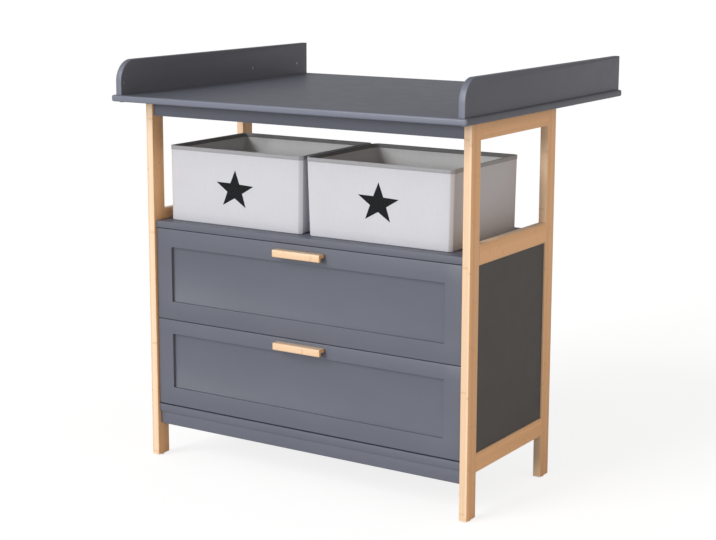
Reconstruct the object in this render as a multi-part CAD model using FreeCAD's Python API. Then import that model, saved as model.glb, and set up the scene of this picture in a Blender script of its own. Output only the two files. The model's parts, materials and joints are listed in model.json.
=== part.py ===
import FreeCAD, Part
import math
import os

# Changing dresser: two side frames of bamboo laths, a grey case with two drawers on
# ball-bearing slides, an open bay with two fabric baskets, and a deep changing top with
# two side guards.  Millimetres.  X runs to the right, -Y is the front, Z is up, and the
# origin is on the floor under the middle of the changing top.

# ---- side frames -----------------------------------------------------------------------
frame_width = 868.0          # over the outer faces of both side frames
frame_depth = 395.0          # over the front and back posts
frame_height = 867.0         # floor to the underside of the changing top
post_width = 19.0            # across the front of a post, also the rails' thickness
post_depth = 40.0            # along the side of a post
lath_easing = 1.2            # chamfer along the long edges of posts and rails
lower_rail_bottom = 104.0
lower_rail_height = 42.0
shelf_rail_bottom = 559.0
shelf_rail_height = 45.0
top_rail_height = 42.0
glide_height = 3.0
glide_radius = 7.5
glide_pin_radius = 1.5
glide_pin_length = 14.0
dowel_radius = 4.0
dowel_length = 30.0
dowel_spread = 22.0          # between the two dowels at one end of a rail
dowel_side_clearance = 0.1
dowel_end_clearance = 1.0

# ---- changing top and guards -------------------------------------------------------------
top_front_overhang = 84.0    # beyond the front faces of the posts
top_side_overhang = 33.5
top_back_overhang = 288.0
top_thickness = 15.0
top_corner_radius = 6.0      # corners seen from above
top_edge_radius = 4.5        # rounded-over rim
guard_height = 80.0
guard_thickness = 16.0
guard_side_inset = 9.0       # from the side edge of the top
guard_front_inset = 8.0
guard_back_inset = 0.5
guard_corner_radius = 50.0
guard_easing = 1.8           # chamfer round the guard
guard_nut_places = (19.0, 522.0, 720.0)   # from the front edge of the top
guard_nut_height = 28.0      # centre above the top board
guard_nut_radius = 4.0
guard_nut_length = 12.0
guard_bolt_radius = 2.5
guard_bolt_head_radius = 5.5
guard_bolt_head_height = 2.5

# ---- case --------------------------------------------------------------------------------
face_setback = 6.0           # fronts, shelf, apron and bottom board behind the post faces
apron_height = 38.0
apron_thickness = 15.0
shelf_thickness = 16.0
shelf_bottom = 564.0
bottom_board_thickness = 18.0
bottom_board_bottom = 113.5
plinth_height = 32.0
plinth_thickness = 15.0
plinth_setback = 5.0         # behind the front edge of the bottom board
side_panel_thickness = 15.0
back_panel_thickness = 3.0
back_panel_setback = 5.0     # from the back faces of the posts
back_panel_side_gap = 1.5
board_easing = 0.8
cam_radius = 7.5
cam_depth = 12.0
cam_from_end = 24.0
cam_pin_radius = 3.0
cam_pin_in_post = 11.0
cam_clearance = 0.1

# ---- brackets under the top ----------------------------------------------------------------
bracket_leg = 20.0
bracket_width = 16.0
bracket_thickness = 2.0
bracket_inset = 45.0         # from a post to the bracket
screw_shank_radius = 1.6
screw_head_radius = 3.4
screw_head_height = 1.6
head_crown = 0.8             # width of a head's outer face, as a share of its foot
bracket_screw_length = 12.0
hole_clearance = 0.1

# ---- drawers -------------------------------------------------------------------------------
front_side_gap = 2.0
front_gap = 3.0              # above the upper and below the lower front
middle_gap = 1.5             # between the two fronts
front_thickness = 16.0
front_split = 344.0          # middle of the gap between the two fronts
front_easing = 1.0
recess_depth = 8.0
recess_height = 132.0
recess_border = 43.0         # left, right and bottom
drawer_side_thickness = 12.0
drawer_box_height = 150.0
drawer_box_lift = 18.0       # box above the bottom edge of its front
drawer_back_clearance = 20.0  # behind the drawer box, to the back panel
drawer_bottom_thickness = 3.0
drawer_bottom_lift = 8.0     # above the lower edge of the box
groove_depth = 5.0
groove_clearance = 0.1
handle_length = 128.0
handle_height = 17.0
handle_depth = 21.0
handle_lip = 7.0             # thickness of the lip that hangs down in front
handle_bridge = 8.5          # thickness of the upper part that meets the front
handle_easing = 1.5
handle_groove_radius = 3.0
handle_screw_spread = 96.0
handle_screw_length = 26.0

# ---- ball-bearing slides ---------------------------------------------------------------------
slide_width = 12.7           # between case and drawer
slide_front_gap = 4.0        # behind the back face of the drawer front
slide_back_gap = 1.0         # before the back end of the drawer box
slide_above_box_bottom = 48.0
slide_metal = 1.2
ball_radius = 2.4
ball_row_height = 10.0       # of a row of balls above and below the slide's middle
ball_play = 0.2
ball_count = 4               # in each row
cage_length = 150.0
cage_metal = 0.5
cage_wall_gap = 0.25
race_turn = 160.0            # degrees of the case member's race, from its web over the ball
cup_start = 250.0            # degrees, where the drawer member's cup under the ball begins
channel_corner = 2.0
bend_step = 32.0             # degrees, the longest flat in a bent section
slide_screw_inset = 12.0
slide_screw_radius = 1.5
slide_screw_head_radius = 2.8
slide_screw_length = 10.0

# ---- baskets -----------------------------------------------------------------------------------
basket_back_setback = 59.0   # back of a basket before the post faces
basket_height = 177.5
basket_setback = 36.0        # front of a basket behind the post faces
basket_left_margin = 20.5    # left basket from the left post
basket_right_margin = 43.5   # right basket from the right post
basket_gap = 10.5            # between the baskets
basket_corner_radius = 12.0
basket_wall = 3.5
basket_floor = 2.5
basket_base_thickness = 2.5
basket_lift = 0.3
trim_height = 9.0
trim_thickness = 0.8

# ---- places worked out from the sizes ------------------------------------------------------------
top_width = frame_width + 2 * top_side_overhang
top_depth = top_front_overhang + frame_depth + top_back_overhang
top_front = -top_depth / 2
post_front = top_front + top_front_overhang
post_back = post_front + frame_depth
frame_side = frame_width / 2
case_side = frame_side - post_width
top_surface = frame_height + top_thickness
face = post_front + face_setback
board_back = post_back - back_panel_setback - back_panel_thickness
shelf_top = shelf_bottom + shelf_thickness
bottom_board_top = bottom_board_bottom + bottom_board_thickness
drawer_back_face = face + front_thickness
drawer_box_length = board_back - drawer_back_clearance - drawer_back_face
slide_length = drawer_box_length - slide_front_gap - slide_back_gap
basket_width = (2 * case_side - basket_left_margin - basket_gap - basket_right_margin) / 2
basket_depth = frame_depth - basket_setback - basket_back_setback
SIDES = {"left": -1, "right": 1}

SMALL_SIDES = 6              # small round hardware and its holes are prisms, to stay light
ROUND_SIDES = 12             # glides and nuts, which are seen from outside
CORNER_STEPS = 4             # flats round each upright corner of a basket
HALF_TURN = 180.0            # degrees

parts = {}
cutters = {}


def vector(x, y, z):
    return FreeCAD.Vector(x, y, z)


def block(x, y, z):
    """A box from three (low, high) pairs, in any order within a pair."""
    low = [min(pair) for pair in (x, y, z)]
    size = [abs(pair[1] - pair[0]) for pair in (x, y, z)]
    return Part.makeBox(size[0], size[1], size[2], vector(*low))


def edges_along(shape, axis):
    """The straight edges that run along one axis (0, 1 or 2)."""
    chosen = []
    for edge in shape.Edges:
        run = edge.Vertexes[-1].Point - edge.Vertexes[0].Point
        across = [abs(run[other]) for other in range(3) if other != axis]
        if abs(run[axis]) > 0.001 and max(across) < 0.001:
            chosen.append(edge)
    return chosen


def eased(shape, width, axis):
    """Take the sharpness off the edges along one axis with a narrow chamfer."""
    return shape.makeChamfer(width, edges_along(shape, axis))


def peg(radius, start, direction, length, sides=SMALL_SIDES):
    """A rod with flats, its corners on the radius, for small pieces and their holes."""
    corners = []
    for index in range(sides + 1):
        turn = 2 * math.pi * (index + 0.5) / sides
        corners.append(vector(radius * math.cos(turn), radius * math.sin(turn), 0))
    prism = Part.Face(Part.makePolygon(corners)).extrude(vector(0, 0, length))
    turned = FreeCAD.Rotation(vector(0, 0, 1), direction)
    prism.Placement = FreeCAD.Placement(start, turned)
    return prism


def taper(low_radius, high_radius, start, direction, length):
    """A cone with as many flats as a peg, lofted from one end to the other."""
    wires = []
    for radius, height in ((low_radius, 0), (high_radius, length)):
        corners = []
        for index in range(SMALL_SIDES + 1):
            turn = 2 * math.pi * (index + 0.5) / SMALL_SIDES
            corners.append(vector(radius * math.cos(turn), radius * math.sin(turn), height))
        wires.append(Part.makePolygon(corners))
    cone = Part.makeLoft(wires, True, True)
    cone.Placement = FreeCAD.Placement(start, FreeCAD.Rotation(vector(0, 0, 1), direction))
    return cone


def ball(radius, centre):
    """A ball with flats, cut from three crossed pegs."""
    solid = None
    for direction in (vector(1, 0, 0), vector(0, 1, 0), vector(0, 0, 1)):
        crossed = peg(radius, centre - direction * radius, direction, 2 * radius)
        solid = crossed if solid is None else solid.common(crossed)
    return solid


def cut_later(name, shape):
    cutters.setdefault(name, []).append(shape)


def add(name, shapes):
    if not isinstance(shapes, list):
        shapes = [shapes]
    parts.setdefault(name, []).extend(shapes)


def pan_screw(start, direction, length, shank=screw_shank_radius, head=screw_head_radius,
              head_height=screw_head_height):
    """A screw whose head sits on the surface at start and whose shank runs along direction."""
    shank_solid = peg(shank, start, direction, length)
    back = start - direction * head_height
    head_solid = taper(head * head_crown, head, back, direction, head_height)
    return shank_solid.fuse(head_solid).removeSplitter()


def flush_screw(start, direction, length):
    """A countersunk screw with its head flush with the surface at start."""
    sink = slide_screw_head_radius - slide_screw_radius
    head_solid = taper(slide_screw_head_radius, slide_screw_radius, start, direction, sink)
    shank_solid = peg(slide_screw_radius, start + direction * sink, direction, length - sink)
    return head_solid.fuse(shank_solid).removeSplitter()


def flush_hole(start, direction, length):
    sink = slide_screw_head_radius - slide_screw_radius
    wide = slide_screw_head_radius + hole_clearance
    narrow = slide_screw_radius + hole_clearance
    mouth = peg(wide, start - direction * ball_radius, direction, ball_radius)
    cone = taper(wide, narrow, start, direction, sink)
    shank = peg(narrow, start + direction * sink, direction, length - sink + hole_clearance)
    return mouth.fuse([cone, shank])


# ---- side frames -----------------------------------------------------------------------------------
def make_side_frame(side_name, sign):
    outer = sign * frame_side
    inner = sign * case_side
    middle = (outer + inner) / 2
    posts = {"front": (post_front, post_front + post_depth),
             "back": (post_back - post_depth, post_back)}
    for end_name, span in posts.items():
        post = block((inner, outer), span, (glide_height, frame_height))
        add(side_name + "_" + end_name + "_post", eased(post, lath_easing, 2))
        centre = vector(middle, sum(span) / 2, 0)
        glide = peg(glide_radius, centre, vector(0, 0, 1), glide_height, ROUND_SIDES)
        pin = peg(glide_pin_radius, centre, vector(0, 0, 1), glide_height + glide_pin_length)
        add("leg_glides", glide.fuse(pin).removeSplitter())
        hole = peg(glide_pin_radius + hole_clearance, centre, vector(0, 0, 1),
                   glide_height + glide_pin_length + dowel_end_clearance)
        cut_later(side_name + "_" + end_name + "_post", hole)
    rails = {"lower_rail": (lower_rail_bottom, lower_rail_height),
             "shelf_rail": (shelf_rail_bottom, shelf_rail_height),
             "top_rail": (frame_height - top_rail_height, top_rail_height)}
    front_joint = posts["front"][1]
    back_joint = posts["back"][0]
    for rail_name, (bottom, height) in rails.items():
        node = side_name + "_" + rail_name
        rail = block((inner, outer), (front_joint, back_joint), (bottom, bottom + height))
        add(node, eased(rail, lath_easing, 1))
        for joint, post_name in ((front_joint, "_front_post"), (back_joint, "_back_post")):
            for offset in (-dowel_spread / 2, dowel_spread / 2):
                height_of_dowel = bottom + height / 2 + offset
                start = vector(middle, joint - dowel_length / 2, height_of_dowel)
                add("frame_dowels", peg(dowel_radius, start, vector(0, 1, 0), dowel_length))
                hole = peg(dowel_radius + dowel_side_clearance,
                           start - vector(0, dowel_end_clearance, 0), vector(0, 1, 0),
                           dowel_length + 2 * dowel_end_clearance)
                cut_later(node, hole)
                cut_later(side_name + post_name, hole)
    panel = block((inner, inner + sign * side_panel_thickness), (front_joint, back_joint),
                  (lower_rail_bottom + lower_rail_height, shelf_rail_bottom))
    add(side_name + "_side_panel", panel)


# ---- changing top, guards and their bolts ------------------------------------------------------------
def make_changing_top():
    half = top_width / 2
    board = block((-half, half), (top_front, -top_front), (frame_height, top_surface))
    board = board.makeFillet(top_corner_radius, edges_along(board, 2))
    rim = []
    for edge in board.Edges:
        heights = [vertex.Z for vertex in edge.Vertexes]
        if max(heights) - min(heights) < 0.001:
            rim.append(edge)
    add("changing_top", board.makeFillet(top_edge_radius, rim))


def make_guard(side_name, sign):
    outer = sign * (top_width / 2 - guard_side_inset)
    inner = outer - sign * guard_thickness
    front = top_front + guard_front_inset
    back = -top_front - guard_back_inset
    guard_top = top_surface + guard_height
    bend = guard_corner_radius
    middle = math.sqrt(0.5)
    corners = [vector(inner, front, top_surface), vector(inner, back, top_surface),
               vector(inner, back, guard_top), vector(inner, front + bend, guard_top),
               vector(inner, front, guard_top - bend)]
    arc_middle = vector(inner, front + bend * (1 - middle), guard_top - bend * (1 - middle))
    outline = [Part.LineSegment(corners[i], corners[i + 1]).toShape() for i in range(3)]
    outline.append(Part.Arc(corners[3], arc_middle, corners[4]).toShape())
    outline.append(Part.LineSegment(corners[4], corners[0]).toShape())
    guard = Part.Face(Part.Wire(outline)).extrude(vector(sign * guard_thickness, 0, 0))
    rims = []
    for edge in guard.Edges:
        ends = [vertex.Point for vertex in edge.Vertexes]
        across = abs(ends[0].x - ends[1].x) > 0.001
        on_board = max(end.z for end in ends) < top_surface + 0.001
        if not across and not on_board:
            rims.append(edge)
    add(side_name + "_guard", guard.makeChamfer(guard_easing, rims))

    middle_x = (outer + inner) / 2
    for place in guard_nut_places:
        nut_place = vector(inner, top_front + place, top_surface + guard_nut_height)
        outward = vector(sign, 0, 0)
        nut = peg(guard_nut_radius, nut_place, outward, guard_nut_length, ROUND_SIDES)
        foot = vector(middle_x, nut_place.y, frame_height)
        bolt_length = top_thickness + guard_nut_height + guard_nut_radius - hole_clearance
        bolt = pan_screw(foot, vector(0, 0, 1), bolt_length, guard_bolt_radius,
                         guard_bolt_head_radius, guard_bolt_head_height)
        bolt_hole = peg(guard_bolt_radius + hole_clearance, foot, vector(0, 0, 1),
                        bolt_length + guard_bolt_radius)
        nut_hole = peg(guard_nut_radius + hole_clearance, nut_place - outward, outward,
                       guard_nut_length + 1 + hole_clearance, ROUND_SIDES)
        add("guard_barrel_nuts", nut.cut(bolt_hole))
        add("guard_bolts", bolt)
        cut_later("changing_top", bolt_hole)
        cut_later(side_name + "_guard", bolt_hole)
        cut_later(side_name + "_guard", nut_hole)


# ---- case ------------------------------------------------------------------------------------------
def add_cam(board_name, post_name, sign, place, open_face, into_board):
    """A cam disc sunk in the board's open face, and the pin that it grips in the post."""
    inward = vector(-sign, 0, 0)
    pin_start = place - inward * cam_pin_in_post
    cam_centre = open_face + inward * cam_from_end
    cam = peg(cam_radius, cam_centre, into_board, cam_depth)
    cam_hole = peg(cam_radius + cam_clearance, cam_centre - into_board, into_board,
                   cam_depth + 1 + cam_clearance)
    pin_length = cam_pin_in_post + cam_from_end - cam_radius - cam_clearance
    pin = peg(cam_pin_radius, pin_start, inward, pin_length)
    pin_hole = peg(cam_pin_radius + cam_clearance, pin_start - inward * cam_clearance, inward,
                   cam_pin_in_post + cam_from_end)
    add("cam_locks", cam)
    add("cam_pins", pin)
    cut_later(board_name, cam_hole)
    cut_later(board_name, pin_hole)
    cut_later(post_name, pin_hole)


def make_case():
    across = (-case_side, case_side)
    shelf = block(across, (face, board_back), (shelf_bottom, shelf_top))
    add("shelf_board", eased(shelf, board_easing, 0))
    bottom = block(across, (face, board_back), (bottom_board_bottom, bottom_board_top))
    add("bottom_board", eased(bottom, board_easing, 0))
    plinth_front = face + plinth_setback
    plinth = block(across, (plinth_front, plinth_front + plinth_thickness),
                   (bottom_board_bottom - plinth_height, bottom_board_bottom))
    add("plinth_rail", eased(plinth, board_easing, 0))
    back = block((-case_side + back_panel_side_gap, case_side - back_panel_side_gap),
                 (board_back, board_back + back_panel_thickness),
                 (bottom_board_bottom, shelf_top))
    add("back_panel", back)
    apron_low = frame_height - apron_height
    aprons = {"front_apron": (face, face + apron_thickness),
              "back_apron": (post_back - face_setback - apron_thickness, post_back - face_setback)}
    for node, span in aprons.items():
        apron = block(across, span, (apron_low, frame_height))
        add(node, eased(apron, board_easing, 0))

    for side_name, sign in SIDES.items():
        inner = sign * case_side
        post_lines = {"_front_post": post_front + post_depth / 2,
                      "_back_post": post_back - post_depth / 2}
        for post, line in post_lines.items():
            for node, low, thickness in (("shelf_board", shelf_bottom, shelf_thickness),
                                         ("bottom_board", bottom_board_bottom,
                                          bottom_board_thickness)):
                place = vector(inner, line, low + thickness / 2)
                lift = vector(0, 0, thickness / 2)
                open_face = place - lift
                add_cam(node, side_name + post, sign, place, open_face, vector(0, 0, 1))
        for node, span in aprons.items():
            post = "_front_post" if node == "front_apron" else "_back_post"
            inside = span[1] if node == "front_apron" else span[0]
            direction = vector(0, -1, 0) if node == "front_apron" else vector(0, 1, 0)
            place = vector(inner, sum(span) / 2, apron_low + apron_height / 2)
            open_face = vector(inner, inside, place.z)
            add_cam(node, side_name + post, sign, place, open_face, direction)


def make_top_brackets():
    for side_name, sign in SIDES.items():
        inner = sign * case_side
        inward = vector(-sign, 0, 0)
        for joint, step in ((post_front + post_depth, 1), (post_back - post_depth, -1)):
            near = joint + step * bracket_inset
            span = (near, near + step * bracket_width)
            upright = block((inner, inner - sign * bracket_thickness), span,
                            (frame_height - bracket_leg, frame_height))
            flat = block((inner, inner - sign * bracket_leg), span,
                         (frame_height - bracket_thickness, frame_height))
            bracket = upright.fuse(flat).removeSplitter()
            middle = sum(span) / 2
            reach = (bracket_leg + bracket_thickness) / 2
            rail_place = vector(inner, middle, frame_height - reach) + inward * bracket_thickness
            top_place = vector(inner - sign * reach, middle, frame_height - bracket_thickness)
            for place, direction, target in ((rail_place, inward * -1, side_name + "_top_rail"),
                                             (top_place, vector(0, 0, 1), "changing_top")):
                add("bracket_screws", pan_screw(place, direction, bracket_screw_length))
                hole = peg(screw_shank_radius + hole_clearance, place, direction,
                           bracket_screw_length + hole_clearance)
                bracket = bracket.cut(hole)
                cut_later(target, hole)
            add("top_brackets", bracket)


# ---- slides --------------------------------------------------------------------------------------------
def arc_points(centre, radius, start, end):
    """Points along an arc, angles in degrees, no more than a bend's flat apart."""
    steps = max(1, round(abs(end - start) / bend_step))
    points = []
    for index in range(steps + 1):
        turn = math.radians(start + (end - start) * index / steps)
        points.append((centre[0] + radius * math.cos(turn), centre[1] + radius * math.sin(turn)))
    return points


def outline_face(pieces):
    """A face from runs of straight flats, each run a list of (s, z) points."""
    edges = []
    for piece in pieces:
        points = [vector(s, 0, z) for s, z in piece]
        for begin, finish in zip(points, points[1:]):
            edges.append(Part.LineSegment(begin, finish).toShape())
    return Part.Face(Part.Wire(Part.__sortEdges__(edges)))


race_inside = ball_radius + ball_play
race_outside = race_inside + slide_metal
ball_line = race_outside                     # of the ball centres, from the case side


def mirrored(pieces):
    return [[(s, -z) for s, z in piece] for piece in pieces]


def case_member_face():
    """Web against the case with a race curled over each row of balls."""
    centre = (ball_line, ball_row_height)
    end = HALF_TURN - race_turn
    over = arc_points(centre, race_outside, HALF_TURN, end)
    under = arc_points(centre, race_inside, HALF_TURN, end)
    upper = [over, [over[-1], under[-1]], under]
    webs = [[(0, -ball_row_height), (0, ball_row_height)],
            [(slide_metal, -ball_row_height), (slide_metal, ball_row_height)]]
    return outline_face(upper + mirrored(upper) + webs)


def drawer_member_face():
    """Channel screwed to the drawer, its two flanges cupped under the balls."""
    centre = (ball_line, ball_row_height)
    near = arc_points(centre, race_inside, cup_start, HALF_TURN * 1.5)
    far = arc_points(centre, race_outside, cup_start, HALF_TURN * 1.5)
    high = ball_row_height - race_inside
    low = ball_row_height - race_outside
    web = slide_width
    corner = channel_corner
    inside_corner = corner - slide_metal / 2
    bend = arc_points((web - corner, high - corner), corner, HALF_TURN / 2, 0)
    web_in = web - slide_metal
    inner_bend = arc_points((web_in - inside_corner, low - inside_corner), inside_corner,
                            HALF_TURN / 2, 0)
    upper = [near, [near[-1], bend[0]], bend, [near[0], far[0]], far,
             [far[-1], inner_bend[0]], inner_bend]
    webs = [[bend[-1], (web, -bend[-1][1])], [inner_bend[-1], (web_in, -inner_bend[-1][1])]]
    return outline_face(upper + mirrored(upper) + webs)


def place_section(section, sign, start, length, middle_height):
    """Extrude a section drawn at the case side along +Y and set it on one side of the case."""
    solid = section.extrude(vector(0, length, 0))
    if sign > 0:
        solid = solid.mirror(vector(0, 0, 0), vector(1, 0, 0))
    solid.translate(vector(sign * case_side, start, middle_height))
    return solid


def make_slides(level, middle_height):
    start = drawer_back_face + slide_front_gap
    cage_start = start + slide_screw_inset
    ball_step = cage_length / ball_count
    for side_name, sign in SIDES.items():
        case_member = place_section(case_member_face(), sign, start, slide_length, middle_height)
        drawer_member = place_section(drawer_member_face(), sign, start, slide_length,
                                      middle_height)
        plate = Part.makeBox(cage_metal, cage_length, 2 * ball_row_height + cage_metal,
                             vector(slide_metal + cage_wall_gap, 0,
                                    -ball_row_height - cage_metal / 2))
        balls = []
        for row in (-1, 1):
            for index in range(ball_count):
                centre = vector(ball_line, ball_step * (index + 0.5), row * ball_row_height)
                balls.append(ball(ball_radius, centre))
                plate = plate.cut(ball(ball_radius + hole_clearance, centre))
        cage_place = vector(sign * case_side, cage_start, middle_height)
        for node, solids in ((level + "_slide_cages", [plate]), (level + "_slide_balls", balls)):
            for solid in solids:
                if sign > 0:
                    solid = solid.mirror(vector(0, 0, 0), vector(1, 0, 0))
                solid.translate(cage_place)
                add(node, solid)
        outward = vector(sign, 0, 0)
        for place_y in (start + slide_screw_inset / 2, start + slide_length - slide_screw_inset / 2):
            case_place = vector(sign * (case_side - slide_metal), place_y, middle_height)
            hole = flush_hole(case_place, outward, slide_screw_length)
            add("slide_screws", flush_screw(case_place, outward, slide_screw_length))
            case_member = case_member.cut(hole)
            drawer_place = vector(sign * (case_side - slide_width + slide_metal), place_y,
                                  middle_height)
            drawer_hole = flush_hole(drawer_place, outward * -1, slide_screw_length)
            add(level + "_drawer_slide_screws",
                flush_screw(drawer_place, outward * -1, slide_screw_length))
            drawer_member = drawer_member.cut(drawer_hole)
            cut_later(level + "_drawer_" + side_name + "_side", drawer_hole)
            post = "_front_post" if place_y < post_front + post_depth else "_back_post"
            if place_y > post_back - post_depth or place_y < post_front + post_depth:
                cut_later(side_name + post, hole)
            else:
                cut_later(side_name + "_side_panel", hole)
        add(level + "_case_slide_members", case_member)
        add(level + "_drawer_slide_members", drawer_member)


# ---- drawers ---------------------------------------------------------------------------------------------
def handle_face():
    """Bar with a lip: fingers reach up behind the lip, under the bridge."""
    depth, height = handle_depth, handle_height
    half = height / 2
    r = handle_groove_radius
    middle = math.sqrt(0.5)
    bridge_low = half - handle_bridge
    lip = handle_lip
    tip = lip / 2
    pieces = [
        [(0, half), (-depth + handle_easing, half)],
        [(-depth + handle_easing, half),
         (-depth + handle_easing * (1 - middle), half - handle_easing * (1 - middle)),
         (-depth, half - handle_easing)],
        [(-depth, half - handle_easing), (-depth, -half + tip)],
        [(-depth, -half + tip), (-depth + tip, -half), (-depth + lip, -half + tip)],
        [(-depth + lip, -half + tip), (-depth + lip, bridge_low - r)],
        [(-depth + lip, bridge_low - r),
         (-depth + lip + r * (1 - middle), bridge_low - r * (1 - middle)),
         (-depth + lip + r, bridge_low)],
        [(-depth + lip + r, bridge_low), (0, bridge_low)],
        [(0, bridge_low), (0, half)]]
    edges = []
    for piece in pieces:
        points = [vector(0, y, z) for y, z in piece]
        if len(points) == 2:
            edges.append(Part.LineSegment(points[0], points[1]).toShape())
        else:
            edges.append(Part.Arc(points[0], points[1], points[2]).toShape())
    return Part.Face(Part.Wire(edges))


def make_drawer(level, low, high):
    half = case_side - front_side_gap
    recess_low = low + recess_border
    recess_high = recess_low + recess_height
    front = block((-half, half), (face, drawer_back_face), (low, high))
    outer_edges = [edge for edge in front.Edges
                   if all(abs(vertex.Y - face) < 0.001 for vertex in edge.Vertexes)]
    front = front.makeChamfer(front_easing, outer_edges)
    recess_side = half - recess_border
    recess = block((-recess_side, recess_side), (face - 1, face + recess_depth),
                   (recess_low, recess_high))
    front = front.cut(recess)
    node = level + "_drawer"

    box_low = low + drawer_box_lift
    box_high = box_low + drawer_box_height
    box_back = drawer_back_face + drawer_box_length
    outer = case_side - slide_width
    inner = outer - drawer_side_thickness
    bottom_low = box_low + drawer_bottom_lift
    for side_name, sign in SIDES.items():
        side = block((sign * inner, sign * outer), (drawer_back_face, box_back),
                     (box_low, box_high))
        add(node + "_" + side_name + "_side", side)
    back = block((-inner, inner), (box_back - drawer_side_thickness, box_back),
                 (box_low, box_high))
    add(node + "_back", back)
    reach = groove_depth - groove_clearance
    bottom = block((-inner - reach, inner + reach),
                   (drawer_back_face - reach, box_back - drawer_side_thickness + reach),
                   (bottom_low, bottom_low + drawer_bottom_thickness))
    groove = block((-inner - groove_depth, inner + groove_depth),
                   (drawer_back_face - groove_depth,
                    box_back - drawer_side_thickness + groove_depth),
                   (bottom_low - groove_clearance,
                    bottom_low + drawer_bottom_thickness + groove_clearance))
    add(node + "_bottom", bottom)
    for owner in ("_left_side", "_right_side", "_back", "_front"):
        cut_later(node + owner, groove)

    handle_middle = (recess_high + high) / 2
    handle = handle_face().extrude(vector(handle_length, 0, 0))
    handle.translate(vector(-handle_length / 2, face, handle_middle))
    screw_height = handle_middle + handle_height / 2 - handle_bridge / 2
    for sign in (-1, 1):
        start = vector(sign * handle_screw_spread / 2, drawer_back_face, screw_height)
        add(node + "_handle_screws", pan_screw(start, vector(0, -1, 0), handle_screw_length))
        hole = peg(screw_shank_radius + hole_clearance, start, vector(0, -1, 0),
                   handle_screw_length + hole_clearance)
        handle = handle.cut(hole)
        front = front.cut(hole)
    add(node + "_front", front)
    add(node + "_handle", handle)
    make_slides(level, box_low + slide_above_box_bottom)


# ---- baskets ------------------------------------------------------------------------------------------------
def rounded_block(x, y, z, radius):
    """A box whose upright corners turn in a few flats."""
    corners = []
    for quarter, (far_x, far_y) in enumerate(((1, 1), (0, 1), (0, 0), (1, 0))):
        centre_x = x[far_x] + (radius if far_x == 0 else -radius)
        centre_y = y[far_y] + (radius if far_y == 0 else -radius)
        for step in range(CORNER_STEPS + 1):
            turn = (quarter + step / CORNER_STEPS) * math.pi / 2
            corners.append(vector(centre_x + radius * math.cos(turn),
                                  centre_y + radius * math.sin(turn), z[0]))
    outline = Part.makePolygon(corners + corners[:1])
    return Part.Face(outline).extrude(vector(0, 0, z[1] - z[0]))


def make_basket(side_name, low_x):
    low = shelf_top + basket_lift
    high = low + basket_height
    x = (low_x, low_x + basket_width)
    front = post_front + basket_setback
    y = (front, front + basket_depth)
    proud = trim_thickness

    def ring(outset, inset, bottom, top):
        outside = rounded_block((x[0] - outset, x[1] + outset), (y[0] - outset, y[1] + outset),
                                (bottom, top), basket_corner_radius + outset)
        inside = rounded_block((x[0] + inset, x[1] - inset), (y[0] + inset, y[1] - inset),
                               (bottom - 1, top + 1), basket_corner_radius - inset)
        return outside.cut(inside)

    wall_top = high - trim_thickness
    shell = rounded_block(x, y, (low, wall_top), basket_corner_radius)
    hollow = rounded_block((x[0] + basket_wall, x[1] - basket_wall),
                           (y[0] + basket_wall, y[1] - basket_wall),
                           (low + basket_floor, high), basket_corner_radius - basket_wall)
    shell = shell.cut(hollow)
    base_gap = basket_wall + trim_thickness
    base = rounded_block((x[0] + base_gap, x[1] - base_gap), (y[0] + base_gap, y[1] - base_gap),
                         (low + basket_floor, low + basket_floor + basket_base_thickness),
                         basket_corner_radius - base_gap)
    trim = ring(proud, basket_wall + proud, high - trim_height, high).cut(shell)
    add(side_name + "_basket_shell", shell)
    add(side_name + "_basket_base", base)
    add(side_name + "_basket_trim", trim)


# ---- the whole dresser ------------------------------------------------------------------------------------------
for name_of_side, side_sign in SIDES.items():
    make_side_frame(name_of_side, side_sign)
make_changing_top()
for name_of_side, side_sign in SIDES.items():
    make_guard(name_of_side, side_sign)
make_case()
make_top_brackets()
make_drawer("upper", front_split + middle_gap / 2, shelf_bottom - front_gap / 2)
make_drawer("lower", bottom_board_top + front_gap, front_split - middle_gap / 2)
left_basket_start = -case_side + basket_left_margin
make_basket("left", left_basket_start)
make_basket("right", left_basket_start + basket_width + basket_gap)

os.makedirs("parts", exist_ok=True)
for node_name, solids in parts.items():
    finished = []
    for solid in solids:
        for cutter in cutters.get(node_name, []):
            solid = solid.cut(cutter)
        finished.extend(solid.Solids)
    if len(finished) == 1:
        shape = finished[0]
    else:
        shape = Part.makeCompound(finished)
    shape.exportStep("parts/" + node_name + ".step")
    print(node_name, len(finished), "solids", round(shape.Volume / 1000, 1), "cm3", shape.isValid())
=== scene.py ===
import json
import math

import bpy
from mathutils import Matrix, Vector

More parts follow.
